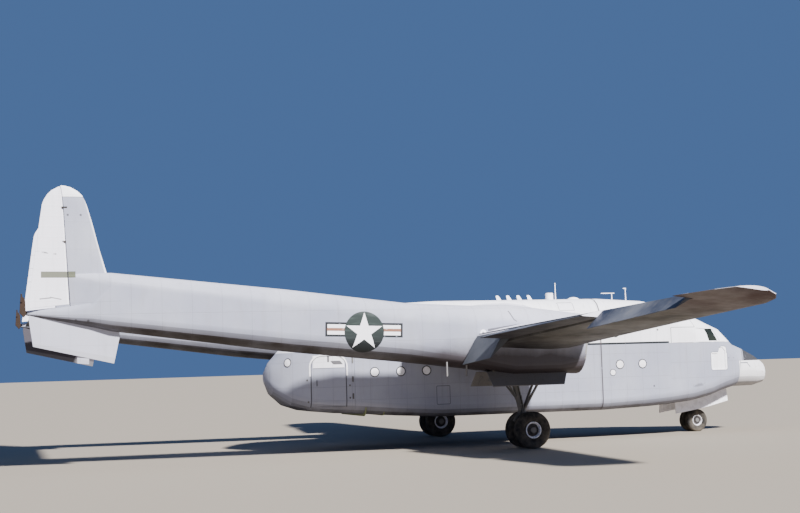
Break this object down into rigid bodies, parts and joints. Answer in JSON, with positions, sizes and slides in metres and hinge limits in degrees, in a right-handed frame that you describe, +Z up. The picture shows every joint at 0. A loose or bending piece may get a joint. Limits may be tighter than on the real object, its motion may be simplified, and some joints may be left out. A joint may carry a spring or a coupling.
{
  "type": "twin-boom military transport plane",
  "caption": "High-wing twin-boom transport plane on its wheels, rear clamshell doors shut, engines and propellers removed, parked in storage.",
  "frame": {"origin": "on the ground below the middle of the length, on the centre line", "axes": "+X towards the nose, +Y towards the port wing tip, +Z up"},
  "size_m": [26.36, 33.3, 8.08],
  "materials": {
    "pale_paint": "weathered pale grey paint",
    "white_paint": "chalky white protective coat",
    "slate_paint": "bare and grey painted sheet",
    "white_fabric": "white doped covering",
    "slate_fabric": "grey doped covering",
    "radome_skin": "smooth white nose cone",
    "glazing": "glass under a white storage coat",
    "cargo_deck": "worn deck paint",
    "tyre_rubber": "weathered black tyre",
    "gear_steel": "dull grey gear enamel",
    "wheel_enamel": "pale wheel enamel",
    "firewall_sheet": "scorched bare sheet"
  },
  "bodies": {
    "airframe": {"cargo_fuselage": "pale_paint", "cargo_floor": "cargo_deck", "cockpit_shell": "white_paint", "nose_radome": "radome_skin", "windshield_right": "glazing", "windshield_left": "glazing", "side_window_right": "glazing", "side_window_left": "glazing", "lower_window_right": "glazing", "lower_window_left": "glazing", "cockpit_floor": "cargo_deck", "centre_wing_right": "pale_paint", "outer_wing_right": "pale_paint", "centre_wing_left": "pale_paint", "outer_wing_left": "pale_paint", "boom_right": "pale_paint", "firewall_right": "firewall_sheet", "boom_left": "pale_paint", "firewall_left": "firewall_sheet", "fin_right": "white_paint", "ventral_fin_right": "pale_paint", "fin_left": "white_paint", "ventral_fin_left": "pale_paint", "stabiliser": "white_paint", "main_leg_right": "gear_steel", "main_leg_left": "gear_steel", "gear_door_right_outer": "white_paint", "gear_door_right_inner": "white_paint", "gear_door_left_outer": "white_paint", "gear_door_left_inner": "white_paint", "nose_leg": "gear_steel", "nose_gear_door_right": "white_paint", "nose_gear_door_left": "white_paint"},
    "main_wheels_right": {"main_wheel_hub_right": "wheel_enamel", "main_tyre_right_outer": "tyre_rubber", "main_tyre_right_inner": "tyre_rubber"},
    "main_wheels_left": {"main_wheel_hub_left": "wheel_enamel", "main_tyre_left_outer": "tyre_rubber", "main_tyre_left_inner": "tyre_rubber"},
    "nose_fork": {"nose_steering_fork": "gear_steel"},
    "nose_wheels": {"nose_wheel_hub": "wheel_enamel", "nose_tyre_right": "tyre_rubber", "nose_tyre_left": "tyre_rubber"},
    "crew_door": {"crew_door": "pale_paint"},
    "clamshell_right": {"clamshell_right": "pale_paint"},
    "clamshell_left": {"clamshell_left": "pale_paint"},
    "paratroop_door_right": {"paratroop_door_right": "white_paint"},
    "paratroop_door_left": {"paratroop_door_left": "white_paint"},
    "rudder_right": {"rudder_right": "white_fabric"},
    "rudder_left": {"rudder_left": "white_fabric"},
    "elevator": {"elevator": "slate_fabric"},
    "aileron_right": {"aileron_right": "slate_fabric"},
    "aileron_left": {"aileron_left": "slate_fabric"},
    "inner_flap_right": {"inner_flap_right": "slate_paint"},
    "inner_flap_left": {"inner_flap_left": "slate_paint"},
    "outer_flap_right": {"outer_flap_right": "slate_paint"},
    "outer_flap_left": {"outer_flap_left": "slate_paint"}
  },
  "joints": [
    {"name": "main_wheels_right_spin", "type": "hinge", "parent": "airframe", "child": "main_wheels_right", "pos_m": [1.86, -4.38, 0.57], "axis": [0, 1, 0], "continuous": true},
    {"name": "main_wheels_left_spin", "type": "hinge", "parent": "airframe", "child": "main_wheels_left", "pos_m": [1.86, 4.38, 0.57], "axis": [0, 1, 0], "continuous": true},
    {"name": "nose_steering", "type": "hinge", "parent": "airframe", "child": "nose_fork", "pos_m": [10.2, 0, 0.9], "axis": [0, 0, 1], "range_deg": [-45, 45]},
    {"name": "nose_wheels_spin", "type": "hinge", "parent": "nose_fork", "child": "nose_wheels", "pos_m": [10.2, 0, 0.4], "axis": [0, 1, 0], "continuous": true},
    {"name": "crew_door_swing", "type": "hinge", "parent": "airframe", "child": "crew_door", "pos_m": [8.306, 1.752, 2.15], "axis": [0, 0, -1], "range_deg": [0, 100]},
    {"name": "clamshell_right_swing", "type": "hinge", "parent": "airframe", "child": "clamshell_right", "pos_m": [-2.954, -1.7, 2.5], "axis": [0, 0, 1], "range_deg": [0, 85]},
    {"name": "clamshell_left_swing", "type": "hinge", "parent": "airframe", "child": "clamshell_left", "pos_m": [-2.954, 1.7, 2.5], "axis": [0, 0, -1], "range_deg": [0, 85]},
    {"name": "paratroop_door_right_swing", "type": "hinge", "parent": "clamshell_right", "child": "paratroop_door_right", "pos_m": [-3.246, -1.5, 2.24], "axis": [0, 0, -1], "range_deg": [0, 90]},
    {"name": "paratroop_door_left_swing", "type": "hinge", "parent": "clamshell_left", "child": "paratroop_door_left", "pos_m": [-3.246, 1.5, 2.24], "axis": [0, 0, 1], "range_deg": [0, 90]},
    {"name": "rudder_right_turn", "type": "hinge", "parent": "airframe", "child": "rudder_right", "pos_m": [-12.09, -4.38, 4.7], "axis": [-0.0449, 0, 0.999], "range_deg": [-37, 13]},
    {"name": "rudder_left_turn", "type": "hinge", "parent": "airframe", "child": "rudder_left", "pos_m": [-12.09, 4.38, 4.7], "axis": [-0.0449, 0, 0.999], "range_deg": [-37, 13]},
    {"name": "elevator_turn", "type": "hinge", "parent": "airframe", "child": "elevator", "pos_m": [-12.25, 0, 4.45], "axis": [0, 1, 0], "range_deg": [-16, 29]},
    {"name": "aileron_right_turn", "type": "hinge", "parent": "airframe", "child": "aileron_right", "pos_m": [0.9154, -12.01, 3.837], "axis": [0.1243, -0.9901, 0.0648], "range_deg": [-60, 0]},
    {"name": "aileron_left_turn", "type": "hinge", "parent": "airframe", "child": "aileron_left", "pos_m": [0.9154, 12.01, 3.837], "axis": [0.1243, 0.9901, 0.0648], "range_deg": [-60, 0]},
    {"name": "inner_flap_right_turn", "type": "hinge", "parent": "airframe", "child": "inner_flap_right", "pos_m": [0.0859, -5.215, 3.3907], "axis": [0.1209, -0.9905, 0.0651], "range_deg": [-42, 0]},
    {"name": "inner_flap_left_turn", "type": "hinge", "parent": "airframe", "child": "inner_flap_left", "pos_m": [0.0859, 5.215, 3.3907], "axis": [-0.1209, -0.9905, -0.0651], "range_deg": [-42, 0]},
    {"name": "outer_flap_right_turn", "type": "hinge", "parent": "airframe", "child": "outer_flap_right", "pos_m": [0.29306, -6.912, 3.50214], "axis": [0.1209, -0.9905, 0.0651], "range_deg": [0, 42]},
    {"name": "outer_flap_left_turn", "type": "hinge", "parent": "airframe", "child": "outer_flap_left", "pos_m": [0.29306, 6.912, 3.50214], "axis": [-0.1209, -0.9905, -0.0651], "range_deg": [0, 42]}
  ],
  "couplings": [
    {"joint": "rudder_left_turn", "follows": "rudder_right_turn", "ratio": 1},
    {"joint": "aileron_left_turn", "follows": "aileron_right_turn", "ratio": 1},
    {"joint": "inner_flap_left_turn", "follows": "inner_flap_right_turn", "ratio": 1},
    {"joint": "outer_flap_left_turn", "follows": "outer_flap_right_turn", "ratio": 1}
  ]
}
